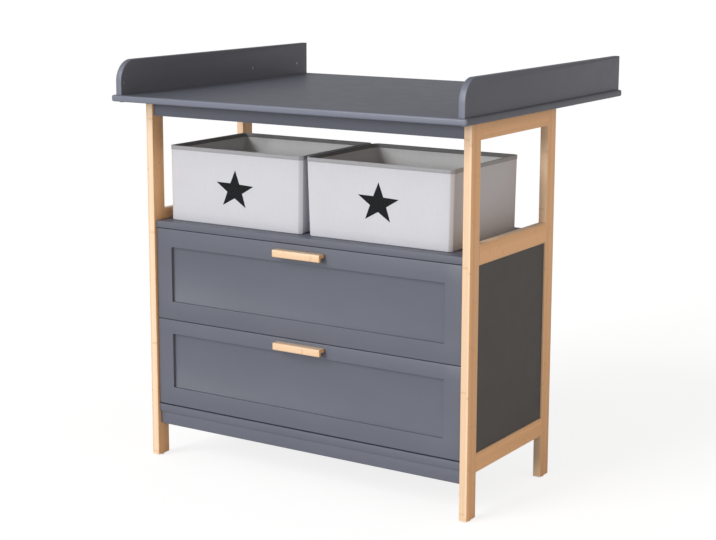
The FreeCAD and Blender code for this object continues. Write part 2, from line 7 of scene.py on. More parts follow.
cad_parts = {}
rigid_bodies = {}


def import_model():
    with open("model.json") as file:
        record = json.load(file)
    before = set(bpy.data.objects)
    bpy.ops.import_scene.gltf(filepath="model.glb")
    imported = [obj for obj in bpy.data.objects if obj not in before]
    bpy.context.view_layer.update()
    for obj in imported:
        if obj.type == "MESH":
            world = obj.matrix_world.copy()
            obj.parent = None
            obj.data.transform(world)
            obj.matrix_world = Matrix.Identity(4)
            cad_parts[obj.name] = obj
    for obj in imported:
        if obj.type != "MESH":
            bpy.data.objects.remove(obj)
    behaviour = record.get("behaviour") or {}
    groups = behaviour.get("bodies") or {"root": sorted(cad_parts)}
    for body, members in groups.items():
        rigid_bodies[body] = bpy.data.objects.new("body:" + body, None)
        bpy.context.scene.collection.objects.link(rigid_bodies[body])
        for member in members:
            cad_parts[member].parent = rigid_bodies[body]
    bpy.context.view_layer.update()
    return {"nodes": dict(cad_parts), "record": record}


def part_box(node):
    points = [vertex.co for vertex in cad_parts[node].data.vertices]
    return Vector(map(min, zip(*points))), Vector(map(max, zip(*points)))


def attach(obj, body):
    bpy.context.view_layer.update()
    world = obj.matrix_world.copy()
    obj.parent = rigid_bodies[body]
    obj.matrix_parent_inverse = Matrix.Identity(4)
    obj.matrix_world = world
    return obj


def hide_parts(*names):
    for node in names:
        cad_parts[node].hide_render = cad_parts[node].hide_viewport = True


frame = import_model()

# Looks of the changing dresser.  Metres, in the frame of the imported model: +X to the right,
# -Y the front, +Z up.  Every node gets a finish.  The drawer fronts and handles, the screws,
# bolts, nuts, cams, glides and balls, the top, guards, laths and boards, and the baskets are
# modelled here in more detail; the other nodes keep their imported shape.
MM = 0.001
TOUCH = 0.1 * MM             # closer than this counts as the same place
FACING = 0.9                 # a face looks along an axis when that much of its normal does
FULL_TURN = 2 * math.pi
SIDES = ("left", "right")
LEVELS = ("upper", "lower")
X_AXIS, Y_AXIS, Z_AXIS = 0, 1, 2


# ---- finishes -----------------------------------------------------------------------------------
def new_node(tree, kind, inputs=None, **settings):
    """A shader node with its inputs set to values or joined to other nodes."""
    node = tree.nodes.new("ShaderNode" + kind)
    for key, value in settings.items():
        setattr(node, key, value)
    for key, value in (inputs or {}).items():
        socket = node.inputs[key]
        if isinstance(value, bpy.types.NodeSocket):
            tree.links.new(value, socket)
        else:
            socket.default_value = value
    return node


class Finish:
    """A material in the making, with one short call for each kind of node."""

    def __init__(self, name, roughness, metallic=0.0):
        self.material = bpy.data.materials.new(name)
        self.material.use_nodes = True
        self.tree = self.material.node_tree
        self.shader = self.tree.nodes["Principled BSDF"]
        self.shader.inputs["Roughness"].default_value = roughness
        self.shader.inputs["Metallic"].default_value = metallic
        self.here = self.add("TexCoord").outputs["Object"]

    def add(self, kind, inputs=None, **settings):
        return new_node(self.tree, kind, inputs, **settings)

    def scaled(self, scale):
        node = self.add("Mapping", {"Vector": self.here, "Scale": scale})
        return node.outputs["Vector"]

    def axes(self):
        return self.add("SeparateXYZ", {"Vector": self.here}).outputs

    def turned_to(self, axis):
        """How much a face looks along an axis, to either end of it."""
        normal = self.add("TexCoord").outputs["Normal"]
        shares = self.add("SeparateXYZ", {"Vector": normal})
        return self.maths("ABSOLUTE", shares.outputs[axis])

    def joined(self, x, y, z=0.0):
        return self.add("CombineXYZ", {"X": x, "Y": y, "Z": z}).outputs["Vector"]

    def noise(self, vector, scale, detail=2.0):
        node = self.add("TexNoise", {"Vector": vector, "Scale": scale, "Detail": detail})
        return node.outputs["Fac"]

    def maths(self, operation, first, second=0.0):
        node = self.add("Math", {0: first, 1: second}, operation=operation)
        return node.outputs["Value"]

    def weighed(self, *parts):
        """The sum of values, each times its weight."""
        total = None
        for value, weight in parts:
            share = self.maths("MULTIPLY", value, weight)
            total = share if total is None else self.maths("ADD", total, share)
        return total

    def spread(self, value, low=0.3, high=0.7, new_low=0.0, new_high=1.0):
        """Stretch the range low to high of a value over a new range, held at its ends."""
        limits = {"Value": value, "From Min": low, "From Max": high,
                  "To Min": new_low, "To Max": new_high}
        return self.add("MapRange", limits).outputs["Result"]

    def two_tone(self, value, first, second, start=0.3, end=0.7):
        """Colour that runs from the first to the second as a value goes from start to end."""
        node = self.add("ValToRGB", {"Fac": value})
        for element, place, colour in zip(node.color_ramp.elements, (start, end),
                                          (first, second)):
            element.position = place
            element.color = (*colour, 1.0)
        return node.outputs["Color"]

    def mixed(self, factor, first, second):
        colours = [colour if isinstance(colour, bpy.types.NodeSocket) else (*colour, 1.0)
                   for colour in (first, second)]
        node = self.add("Mix", {0: factor, 6: colours[0], 7: colours[1]}, data_type="RGBA")
        return node.outputs[2]

    def wear(self, colour, roughness=None):
        """Give the shader its colour and, where it varies, its roughness."""
        self.tree.links.new(colour, self.shader.inputs["Base Color"])
        if roughness is not None:
            self.tree.links.new(roughness, self.shader.inputs["Roughness"])

    def relief(self, height, distance, strength=1.0):
        bump = self.add("Bump", {"Height": height, "Distance": distance, "Strength": strength})
        self.tree.links.new(bump.outputs["Normal"], self.shader.inputs["Normal"])


def tint(colour, factor):
    return tuple(channel * factor for channel in colour)


BAMBOO_PALE = (0.93, 0.725, 0.525)
BAMBOO_DEEP = (0.77, 0.51, 0.305)
BAMBOO_EDGE = (0.93, 0.495, 0.208)
BAMBOO_NODE = (0.50, 0.27, 0.11)
STRIP_WIDTH = 19.5 * MM
STRIP_THICKNESS = 5.8 * MM
FIBRE_FINENESS = 170.0       # of the fibres and bands across the grain
FIBRE_STRETCH, BAND_STRETCH = 3.0, 1.2   # their fineness along the grain
NODE_SPACING = 0.27          # between two knuckles of a strip
NODE_WOBBLE = 0.02           # how crooked a knuckle's line is, as a share of their spacing
STRIP_SHIFT = 7.3            # sets each strip's knuckles off from its neighbours'
KNUCKLE_WIDTH = 0.016        # half the width of a knuckle, as a share of their spacing
KNUCKLE_STRENGTH, KNUCKLE_DEPTH = 0.3, 0.8
EDGE_STRENGTH = 0.85         # of the warmer colour where the strips' edges show


def bamboo(name, grain, wide, narrow):
    """Laminated bamboo: strips along the grain, each with its own tone and its own knuckles."""
    finish = Finish(name, roughness=0.42)
    places = finish.axes()
    cells = [finish.maths("FLOOR", finish.maths("DIVIDE", places[axis], size))
             for axis, size in ((wide, STRIP_WIDTH), (narrow, STRIP_THICKNESS))]
    strip = finish.add("TexWhiteNoise", {"Vector": finish.joined(*cells)})
    own_tone = strip.outputs["Value"]

    stretch = [FIBRE_FINENESS] * 3
    stretch[grain] = FIBRE_STRETCH
    fibre = finish.noise(finish.scaled(stretch), scale=4.0, detail=4.0)
    stretch[grain] = BAND_STRETCH
    band = finish.noise(finish.scaled(stretch), scale=0.5)
    tone = finish.weighed((own_tone, 0.45), (fibre, 0.35), (band, 0.35))
    colour = finish.two_tone(tone, BAMBOO_PALE, BAMBOO_DEEP, start=0.25, end=0.95)

    on_edge = finish.maths("MULTIPLY", finish.turned_to(X_AXIS), EDGE_STRENGTH)
    edge_colour = finish.mixed(tone, tint(BAMBOO_EDGE, 1.12), tint(BAMBOO_EDGE, 0.82))
    colour = finish.mixed(on_edge, colour, edge_colour)

    shift = finish.maths("MULTIPLY", own_tone, STRIP_SHIFT)
    uneven = finish.noise(finish.scaled((60.0, 60.0, 60.0)), scale=1.0)
    wobble = finish.maths("MULTIPLY", uneven, NODE_WOBBLE)
    step = finish.maths("ADD", finish.maths("DIVIDE", places[grain], NODE_SPACING), shift)
    step = finish.maths("FRACT", finish.maths("ADD", step, wobble))
    from_node = finish.maths("ABSOLUTE", finish.maths("SUBTRACT", step, 0.5))
    knuckle = finish.spread(from_node, 0.0, KNUCKLE_WIDTH, 1.0, 0.0)
    strength = finish.maths("MULTIPLY", knuckle, KNUCKLE_STRENGTH)
    colour = finish.mixed(strength, colour, BAMBOO_NODE)
    finish.wear(colour, finish.spread(fibre, 0.2, 0.8, 0.36, 0.5))
    height = finish.maths("SUBTRACT", fibre, finish.maths("MULTIPLY", knuckle, KNUCKLE_DEPTH))
    finish.relief(height, 0.15 * MM, 0.5)
    finish.shader.inputs["Coat Weight"].default_value = 0.12
    finish.shader.inputs["Coat Roughness"].default_value = 0.3
    return finish.material


ORANGE_PEEL = 0.35


def satin_paint(name, colour, roughness, painted_highlight_lift=1.0):
    """Sprayed paint on fibreboard: faint clouds of tone, orange peel and rubbed patches.

    With a lift above one, the front and back edges of the changing top and its guards are painted
    lighter: a painted highlight where the rounded rim catches the light.
    """
    finish = Finish(name, roughness)
    cloud = finish.noise(finish.scaled((5.0, 5.0, 9.0)), scale=1.0, detail=4.0)
    grit = finish.noise(finish.here, scale=900.0, detail=3.0)
    tone = finish.weighed((cloud, 0.8), (grit, 0.2))
    colours = finish.two_tone(tone, tint(colour, 0.955), tint(colour, 1.045))
    # painted highlight: faces that look to the front or back get a lighter tone
    if painted_highlight_lift > 1.0:
        painted_highlight_mask = finish.spread(finish.turned_to(Y_AXIS), 0.3, 0.8)
        colours = finish.mixed(painted_highlight_mask, colours, tint(colour, painted_highlight_lift))
    rubbed = finish.noise(finish.here, scale=24.0, detail=4.0)
    finish.wear(colours, finish.spread(rubbed, new_low=roughness - 0.02,
                                       new_high=roughness + 0.03))
    finish.relief(finish.noise(finish.here, scale=420.0), 0.05 * MM, ORANGE_PEEL)
    return finish.material


def foil_board(name, colour, fleck):
    """Board under printed foil, with short flecks along its length."""
    finish = Finish(name, roughness=0.5)
    flecks = finish.noise(finish.scaled((320.0, 90.0, 600.0)), scale=1.0, detail=5.0)
    clouds = finish.noise(finish.here, scale=6.0, detail=3.0)
    tone = finish.weighed((flecks, 0.6), (clouds, 0.4))
    finish.wear(finish.two_tone(tone, fleck, colour, end=0.65),
                finish.spread(clouds, new_low=0.42, new_high=0.56))
    finish.relief(flecks, 0.06 * MM, 0.4)
    return finish.material


def bright_steel(name, colour, roughness):
    """Zinc-plated sheet: patchy plating and fine rolling lines along the slides."""
    finish = Finish(name, roughness, metallic=1.0)
    patches = finish.noise(finish.here, scale=140.0, detail=5.0)
    lines = finish.noise(finish.scaled((2500.0, 30.0, 2500.0)), scale=1.0)
    finish.wear(finish.two_tone(patches, tint(colour, 0.86), colour),
                finish.spread(patches, new_low=roughness - 0.07, new_high=roughness + 0.1))
    finish.relief(lines, 0.03 * MM, 0.5)
    return finish.material


def moulded_plastic(name, colour):
    finish = Finish(name, roughness=0.45)
    grain = finish.noise(finish.here, scale=1400.0)
    cloud = finish.noise(finish.here, scale=60.0)
    finish.wear(finish.two_tone(cloud, tint(colour, 0.94), colour),
                finish.spread(grain, new_low=0.4, new_high=0.52))
    finish.relief(grain, 0.04 * MM, 0.4)
    return finish.material


SLUB_ACROSS, SLUB_ALONG = 900.0, 25.0     # how fine the thick threads are, each way


def woven_cloth(name, colour, thread_width, contrast):
    """Plain weave: threads round the basket and threads up and down, some of them thicker."""
    finish = Finish(name, roughness=0.85)
    places = finish.axes()
    around = finish.maths("ADD", places[X_AXIS], places[Y_AXIS])
    upwards = places[Z_AXIS]
    waves = [finish.maths("SINE", finish.maths("MULTIPLY", place, FULL_TURN / thread_width))
             for place in (around, upwards)]
    weave = finish.maths("MULTIPLY", *waves)
    slubs = [finish.noise(finish.joined(finish.maths("MULTIPLY", around, round_fineness),
                                        finish.maths("MULTIPLY", upwards, up_fineness)), scale=1.0)
             for round_fineness, up_fineness in ((SLUB_ACROSS, SLUB_ALONG),
                                                 (SLUB_ALONG, SLUB_ACROSS))]
    slubs = finish.maths("ADD", *slubs)
    cloud = finish.noise(finish.here, scale=14.0, detail=3.0)
    tone = finish.weighed((slubs, 0.4), (cloud, 0.2))
    finish.wear(finish.two_tone(tone, tint(colour, 1 - contrast), colour))
    finish.relief(finish.weighed((weave, 0.3), (slubs, 1.0)), 0.18 * MM, 0.5)
    finish.shader.inputs["Sheen Weight"].default_value = 0.15
    return finish.material


def printed_ink(name):
    """The star's print: dark ink in the weave, a little worn so that the cloth shows through."""
    finish = Finish(name, roughness=0.7)
    worn = finish.noise(finish.here, scale=420.0, detail=6.0)
    finish.wear(finish.two_tone(worn, (0.024, 0.026, 0.030), (0.006, 0.007, 0.008),
                                start=0.28, end=0.55))
    finish.relief(finish.noise(finish.here, scale=1500.0), 0.08 * MM, 0.6)
    finish.shader.inputs["Specular IOR Level"].default_value = 0.12
    return finish.material


def sewing_thread(name, colour):
    finish = Finish(name, roughness=0.6)
    twist = finish.noise(finish.scaled((2000.0, 2000.0, 5000.0)), scale=1.0)
    finish.wear(finish.two_tone(twist, tint(colour, 0.7), colour))
    finish.relief(twist, 0.05 * MM, 0.5)
    return finish.material


GREY = (0.115, 0.124, 0.159)
# a darker, warmer copy of the grey paint for the side panels: painted shade for the side that
# faces away from the key light
PANEL_GREY_PAINTED_SHADE = (0.078, 0.072, 0.070)
paint = satin_paint("grey_satin_paint", GREY, 0.42)
panel_paint_painted_shade = satin_paint("side_panel_paint", PANEL_GREY_PAINTED_SHADE, 0.55)
# the changing top and guards: grey paint with a painted highlight on their front and back edges
top_paint_painted_highlight = satin_paint("changing_top_paint", GREY, 0.40, painted_highlight_lift=1.5)
post_bamboo = bamboo("bamboo_upright", Z_AXIS, X_AXIS, Y_AXIS)
rail_bamboo = bamboo("bamboo_rail", Y_AXIS, X_AXIS, Z_AXIS)
handle_bamboo = bamboo("bamboo_handle", X_AXIS, Z_AXIS, Y_AXIS)
drawer_foil = foil_board("drawer_board_foil", (0.36, 0.365, 0.38), (0.27, 0.272, 0.285))
thin_board = foil_board("thin_board_foil", (0.27, 0.275, 0.29), (0.21, 0.212, 0.225))
dowel_wood = bamboo("dowel_beech", Y_AXIS, X_AXIS, Z_AXIS)
dark_zinc = bright_steel("dark_zinc", (0.40, 0.405, 0.42), 0.4)
zinc = bright_steel("zinc_plate", (0.66, 0.67, 0.69), 0.32)
cage_steel = bright_steel("cage_strip", (0.55, 0.54, 0.50), 0.38)
ball_steel = bright_steel("polished_balls", (0.72, 0.72, 0.73), 0.16)
glide_plastic = moulded_plastic("glide_plastic", (0.62, 0.62, 0.60))
cloth = woven_cloth("basket_cloth", (0.62, 0.623, 0.665), 0.9 * MM, 0.10)
# the lining is far lighter than the cloth outside: partly its own pale tone, partly painted light
# for the light that comes into the baskets
lining = woven_cloth("basket_lining_painted_light", (0.93, 0.93, 0.93), 0.9 * MM, 0.12)
hem_tape = woven_cloth("basket_hem_tape", (0.40, 0.40, 0.42), 0.7 * MM, 0.2)
binding = woven_cloth("basket_binding", (0.33, 0.33, 0.335), 0.7 * MM, 0.3)
star_ink = printed_ink("star_ink")
thread = sewing_thread("hem_thread", (0.42, 0.42, 0.44))

FINISH_OF_SLOT = {"grey_paint": paint, "drawer_board": drawer_foil, "thin_board": thin_board,
                  "dowel_wood": dowel_wood, "zinc_steel": zinc, "cage_steel": cage_steel,
                  "glide_plastic": glide_plastic, "basket_fabric": cloth,
                  "basket_trim": binding, "basket_board": lining}


def finish_nodes():
    for part in frame["record"]["subparts"]:
        node = part["node"]
        if part["material_slot"] == "bamboo":
            finish = rail_bamboo if node.endswith("_rail") else post_bamboo
        else:
            finish = FINISH_OF_SLOT[part["material_slot"]]
        # the side panels take the darker copy of the paint, which is painted shade
        if node.endswith("_side_panel"):
            finish = panel_paint_painted_shade
        # the changing top and guards take the paint with the painted highlight on their front and
        # back edges
        if node == "changing_top" or node.endswith("_guard"):
            finish = top_paint_painted_highlight
        mesh = frame["nodes"][node].data
        mesh.materials.clear()
        mesh.materials.append(finish)


finish_nodes()


# ---- modelling aids -----------------------------------------------------------------------------
def only(piece):
    """Leave edit mode with one object selected and active."""
    if bpy.context.object is not None and bpy.context.object.mode != "OBJECT":
        bpy.ops.object.mode_set(mode="OBJECT")
    for other in bpy.context.view_layer.objects:
        other.select_set(False)
    bpy.context.view_layer.objects.active = piece
    piece.select_set(True)


def named(name):
    """Name the new primitive and put its place, turn and size into its mesh."""
    piece = bpy.context.object
    piece.name = name
    piece.data.name = name
    only(piece)
    bpy.ops.object.transform_apply(location=True, rotation=True, scale=True)
    return piece


def new_block(name, low, high):
    centre = (Vector(low) + Vector(high)) / 2
    size = Vector(high) - Vector(low)
    bpy.ops.mesh.primitive_cube_add(size=1, location=centre, scale=size)
    return named(name)


def turn_to(direction):
    """The turn that brings +Z to a direction."""
    return Vector((0, 0, 1)).rotation_difference(Vector(direction)).to_euler()


def new_rod(name, radius, length, centre, direction=(0, 0, 1), sides=24):
    bpy.ops.mesh.primitive_cylinder_add(vertices=sides, radius=radius, depth=length,
                                        location=centre, rotation=turn_to(direction))
    return named(name)


def open_with(piece, kind, wanted):
    """Open a piece in edit mode with only those faces or edges selected that a test picks.

    The test gets a face's middle and normal, or an edge's two ends.
    """
    only(piece)
    bpy.ops.object.mode_set(mode="EDIT")
    bpy.ops.mesh.select_mode(type=kind)
    bpy.ops.mesh.select_all(action="DESELECT")
    bpy.ops.object.mode_set(mode="OBJECT")
    mesh = piece.data
    if kind == "FACE":
        for face in mesh.polygons:
            face.select = wanted(face.center, face.normal)
    else:
        for edge in mesh.edges:
            edge.select = wanted(*[mesh.vertices[index].co for index in edge.vertices])
    bpy.ops.object.mode_set(mode="EDIT")


def close():
    bpy.ops.object.mode_set(mode="OBJECT")


def push_out(x=0.0, y=0.0, z=0.0):
    """Extrude the selected faces of the open piece by an offset."""
    bpy.ops.mesh.extrude_region_move(TRANSFORM_OT_translate={"value": (x, y, z)})


def round_edges(piece, width, segments, wanted):
    """Round only the edges that a test picks by their ends."""
    open_with(piece, "EDGE", wanted)
    bpy.ops.mesh.bevel(offset=width, segments=segments)
    close()


def runs_along(axis):
    """A test for the edges that run along an axis."""
    others = [other for other in range(3) if other != axis]

    def along(a, b):
        return all(abs(a[other] - b[other]) < TOUCH for other in others)
    return along


def along_axis(axis, length):
    return Vector([length if other == axis else 0.0 for other in range(3)])


def slice_across(piece, axis, places):
    """Cut lines round a piece at places along an axis."""
    open_with(piece, "FACE", lambda centre, normal: True)
    for place in places:
        bpy.ops.mesh.select_all(action="SELECT")
        bpy.ops.mesh.bisect(plane_co=along_axis(axis, place), plane_no=along_axis(axis, 1.0))
    close()


def between(low, high, count):
    """The places that divide a stretch into count equal parts, without its ends."""
    return [low + (high - low) * index / count for index in range(1, count)]


def modify(piece, kind, **settings):
    """Give a piece a modifier and apply it at once."""
    only(piece)
    modifier = piece.modifiers.new(kind.lower(), kind)
    for key, value in settings.items():
        setattr(modifier, key, value)
    bpy.ops.object.modifier_apply(modifier=modifier.name)


def shade(angle=0.5):
    """Shade the selected piece smooth over edges flatter than an angle."""
    bpy.ops.object.shade_smooth_by_angle(angle=angle)


def soften(piece, width, segments=2, angle=0.6):
    """Round a piece's sharp edges and shade it smooth."""
    modify(piece, "BEVEL", width=width, segments=segments, limit_method="ANGLE",
           angle_limit=angle)
    shade(angle)


def settle(piece, finish, body, slot, *nodes):
    """Give a finished piece its material, unless it has one, and its body, and hide the nodes it
    stands for; the slot is not used.
    """
    if not piece.data.materials:
        piece.data.materials.append(finish)
    if nodes:
        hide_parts(*nodes)
    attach(piece, body)


def corners_of(node):
    """Lowest and highest corner of a node."""
    low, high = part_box(node)
    return Vector(low), Vector(high)


# ---- drawer fronts and handles ------------------------------------------------------------------
HANDLE_LIP, HANDLE_BRIDGE = 7.0 * MM, 8.5 * MM      # thickness of the lip, and of the part above
HANDLE_ROUNDING, LIP_ROUNDING = 1.3 * MM, 3.0 * MM


def make_handle(level):
    """A bar with a lip that hangs down in front, for the fingers."""
    node = level + "_drawer_handle"
    low, high = corners_of(node)
    bridge_low = high.z - HANDLE_BRIDGE
    lip_back = low.y + HANDLE_LIP
    handle = new_block(node + "_bar", (low.x, low.y, bridge_low), high)
    slice_across(handle, Y_AXIS, [lip_back])
    open_with(handle, "FACE", lambda centre, normal: normal.z < -FACING and centre.y < lip_back)
    push_out(z=low.z - bridge_low)
    close()
    lengthwise = runs_along(X_AXIS)
    round_edges(handle, LIP_ROUNDING, segments=4, wanted=lambda a, b: lengthwise(a, b)
                and a.z < low.z + TOUCH)
    round_edges(handle, LIP_ROUNDING, segments=4, wanted=lambda a, b: lengthwise(a, b)
                and abs(a.z - bridge_low) < TOUCH and abs(a.y - lip_back) < TOUCH)
    soften(handle, HANDLE_ROUNDING, segments=3)
    settle(handle, handle_bamboo, level + "_drawer", "bamboo", node)


RECESS_BORDER, RECESS_HEIGHT, RECESS_DEPTH = 43.0 * MM, 132.0 * MM, 8.0 * MM
FRONT_ROUNDING = 1.4 * MM


def make_front(level):
    """A front with a sunk field, every edge of the frame and of the field eased by sanding."""
    node = level + "_drawer_front"
    low, high = corners_of(node)
    front = new_block(node + "_panel", low, high)
    sides = (low.x + RECESS_BORDER, high.x - RECESS_BORDER)
    heights = (low.z + RECESS_BORDER, low.z + RECESS_BORDER + RECESS_HEIGHT)
    slice_across(front, X_AXIS, sides)
    slice_across(front, Z_AXIS, heights)
    open_with(front, "FACE", lambda centre, normal: normal.y < -FACING
              and sides[0] < centre.x < sides[1] and heights[0] < centre.z < heights[1])
    push_out(y=RECESS_DEPTH)
    close()
    soften(front, FRONT_ROUNDING, segments=3)
    settle(front, paint, level + "_drawer", "grey_paint", node)


for level_name in LEVELS:
    make_front(level_name)
    make_handle(level_name)


# ---- hardware -----------------------------------------------------------------------------------
# Each piece is modelled once at the origin with +Z into the wood, then copied to its places.
SCREW_SIDES = 20
# Shanks, heads and bodies are given by their radius; a cross by its span, width and depth; and
# a profile by its rings, each with its share of the head's height and how much it narrows.
BRACKET_SCREW, HANDLE_SCREW, SLIDE_SCREW = 12.0 * MM, 26.0 * MM, 10.0 * MM   # under the head
PAN_SHANK, PAN_HEAD, PAN_HEIGHT = 1.6 * MM, 3.4 * MM, 1.6 * MM
PAN_PROFILE = ((0.6, 1.0), (0.3, 0.86), (0.1, 0.7))
PAN_CROSS = (3.2 * MM, 0.8 * MM, 1.1 * MM)
FLUSH_SHANK, FLUSH_HEAD, FLUSH_SINK = 1.4 * MM, 2.8 * MM, 1.4 * MM
FLUSH_CROWN, FLUSH_TAPER = 0.15 * MM, 0.85
FLUSH_CROSS = (3.0 * MM, 0.7 * MM, 1.0 * MM)
BOLT_LENGTH, BOLT_UNDER_HEAD = 46.8 * MM, 2.5 * MM
BOLT_SHANK, BOLT_HEAD, BOLT_HEIGHT = 2.4 * MM, 5.4 * MM, 2.4 * MM
BOLT_PROFILE = ((0.8, 1.0), (0.2, 0.9))
BOLT_SOCKET, BOLT_SOCKET_DEPTH = 2.3 * MM, 2.0 * MM
NUT_RADIUS, NUT_LENGTH, NUT_ROUNDING = 3.85 * MM, 12.0 * MM, 0.3 * MM
NUT_SLOT, NUT_SLOT_DEPTH = 1.3 * MM, 1.0 * MM
CAM_BODY, CAM_LENGTH, CAM_FLANGE, CAM_RIM = 6.4 * MM, 12.0 * MM, 8.2 * MM, 0.4 * MM
CAM_PROFILE = ((0.5, 1.0), (0.5, 0.95))
CAM_CROSS = (8.5 * MM, 1.6 * MM, 2.2 * MM)
# The small dot that shows how a cam stands: its radius, its depth and its place.
CAM_MARK, CAM_MARK_DEPTH, CAM_MARK_PLACE = 0.9 * MM, 0.5 * MM, 5.6 * MM
GLIDE_RADIUS, GLIDE_HEIGHT, GLIDE_ROUNDING = 7.4 * MM, 3.0 * MM, 0.8 * MM
GLIDE_NAIL, GLIDE_NAIL_DEPTH = 2.2 * MM, 1.0 * MM
PIN_RADIUS, PIN_LENGTH = 1.5 * MM, 14.0 * MM
BALL_RADIUS = 2.4 * MM


def solids_of(node):
    """Lowest and highest corner of each separate solid of a node."""
    mesh = frame["nodes"][node].data
    keys = [tuple(round(value, 6) for value in point.co) for point in mesh.vertices]
    joined_to = {key: key for key in keys}

    def leader(key):
        while joined_to[key] != key:
            key = joined_to[key]
        return key

    for face in mesh.polygons:
        first = leader(keys[face.vertices[0]])
        for index in face.vertices:
            joined_to[leader(keys[index])] = first
    groups = {}
    for key in joined_to:
        groups.setdefault(leader(key), []).append(key)
    return [(Vector([min(key[axis] for key in group) for axis in range(3)]),
             Vector([max(key[axis] for key in group) for axis in range(3)]))
            for group in groups.values()]


def cut_out(piece, tool):
    """Take a tool's shape out of a piece and throw the tool away."""
    modify(piece, "BOOLEAN", operation="DIFFERENCE", object=tool)
    bpy.data.objects.remove(tool)


def cut_cross(piece, face_height, span, width, depth):
    """A cross recess in the face that looks down at a height."""
    for size_x, size_y in ((span, width), (width, span)):
        tool = new_block("tool", (-size_x / 2, -size_y / 2, face_height - MM),
                         (size_x / 2, size_y / 2, face_height + depth))
        cut_out(piece, tool)


def grow_end(piece, height, *steps):
    """From the end face at a height, add steps of (how far down, how much wider)."""
    open_with(piece, "FACE", lambda centre, normal: normal.z < -FACING
              and abs(centre.z - height) < TOUCH)
    for drop, widening in steps:
        push_out(z=-drop)
        bpy.ops.transform.resize(value=(widening, widening, 1), center_override=(0, 0, height))
    close()


def new_shank(name, radius, length, start=0.0, sides=SCREW_SIDES):
    """A rod that runs up from a height."""
    return new_rod(name, radius, length, (0, 0, start + length / 2), sides=sides)


def add_head(piece, widening, height, profile):
    """A head on the shank's low end, with the rings of a profile."""
    grow_end(piece, 0.0, (0.0, widening), *[(height * share, taper) for share, taper in profile])


def cut_hole(piece, radius, depth, place, sides):
    """A blind hole upwards from a place on a face that looks down."""
    cut_out(piece, new_rod("tool", radius, 2 * depth, place, sides=sides))


def pan_screw(length):
    screw = new_shank("pan_screw", PAN_SHANK, length)
    add_head(screw, PAN_HEAD / PAN_SHANK, PAN_HEIGHT, PAN_PROFILE)
    cut_cross(screw, -PAN_HEIGHT, *PAN_CROSS)
    return screw


def flush_screw(length):
    screw = new_shank("flush_screw", FLUSH_SHANK, length - FLUSH_SINK, start=FLUSH_SINK)
    grow_end(screw, FLUSH_SINK, (FLUSH_SINK, FLUSH_HEAD / FLUSH_SHANK), (FLUSH_CROWN, FLUSH_TAPER))
    cut_cross(screw, -FLUSH_CROWN, *FLUSH_CROSS)
    return screw


def socket_bolt(length):
    bolt = new_shank("socket_bolt", BOLT_SHANK, length)
    add_head(bolt, BOLT_HEAD / BOLT_SHANK, BOLT_HEIGHT, BOLT_PROFILE)
    cut_hole(bolt, BOLT_SOCKET, BOLT_SOCKET_DEPTH, (0, 0, -BOLT_HEIGHT), sides=6)
    return bolt


def slotted_nut(length):
    nut = new_shank("slotted_nut", NUT_RADIUS, length)
    soften(nut, NUT_ROUNDING, segments=1)
    reach = NUT_RADIUS + MM
    cut_out(nut, new_block("tool", (-NUT_SLOT / 2, -reach, -NUT_SLOT_DEPTH),
                           (NUT_SLOT / 2, reach, NUT_SLOT_DEPTH)))
    return nut


def cam_lock(length):
    cam = new_shank("cam_lock", CAM_BODY, length, sides=28)
    add_head(cam, CAM_FLANGE / CAM_BODY, CAM_RIM, CAM_PROFILE)
    cut_cross(cam, -CAM_RIM, *CAM_CROSS)
    cut_hole(cam, CAM_MARK, CAM_MARK_DEPTH, (0, CAM_MARK_PLACE, -CAM_RIM), sides=12)
    return cam


def leg_glide(length):
    """A plastic foot with a sunk nail head below and the nail's pin above."""
    glide = new_shank("leg_glide", GLIDE_RADIUS, length, sides=32)
    soften(glide, GLIDE_ROUNDING, segments=3)
    cut_hole(glide, GLIDE_NAIL, GLIDE_NAIL_DEPTH, (0, 0, 0), sides=16)
    open_with(glide, "FACE", lambda centre, normal: normal.z > FACING
              and centre.z > length - TOUCH)
    bpy.ops.mesh.inset(thickness=GLIDE_RADIUS - GLIDE_ROUNDING - PIN_RADIUS)
    push_out(z=PIN_LENGTH)
    close()
    return glide


def steel_ball():
    """A cube divided and cast into a ball."""
    ball = new_block("steel_ball", (-BALL_RADIUS,) * 3, (BALL_RADIUS,) * 3)
    modify(ball, "SUBSURF", levels=2, render_levels=2)
    modify(ball, "CAST", factor=1.0, use_radius_as_size=False, size=BALL_RADIUS)
    bpy.ops.object.shade_smooth()
    return ball


def at_face(low, high, axis, sign, inset=0.0):
    """The middle of the face where a fastener starts, and its heading along an axis."""
    place = (low + high) / 2
    place[axis] = low[axis] + inset if sign > 0 else high[axis] - inset
    return place, along_axis(axis, sign)


def fill_places(node, master, aim, body="case", finish=zinc, slot="zinc_steel"):
    """Copy a master to every solid of a node, join the copies and let them stand for it."""
    copies = []
    for low, high in solids_of(node):
        place, heading = aim(low, high)
        copy = master.copy()
        copy.data = master.data.copy()
        bpy.context.collection.objects.link(copy)
        copy.location = place
        copy.rotation_euler = turn_to(heading)
        copies.append(copy)
    only(copies[0])
    for copy in copies:
        copy.select_set(True)
    bpy.ops.object.join()
    piece = named(node + "_detailed")
    shade()
    settle(piece, finish, body, slot, node)
    bpy.data.objects.remove(master)


def away_from_middle(low, high, inset=0.0):
    """For a fastener across the dresser that points to the nearer side."""
    return at_face(low, high, X_AXIS, 1 if low.x + high.x > 0 else -1, inset)


def towards_middle(low, high):
    return at_face(low, high, X_AXIS, -1 if low.x + high.x > 0 else 1)


def aim_bracket_screw(low, high):
    """A screw into the top points upwards; one into a post points away from the middle."""
    size = high - low
    if size.z > max(size.x, size.y):
        return at_face(low, high, Z_AXIS, 1, PAN_HEIGHT)
    return away_from_middle(low, high, PAN_HEIGHT)


FRONT_ZONE = 100.0 * MM      # cams nearer to the shelf's front edge are in the front apron


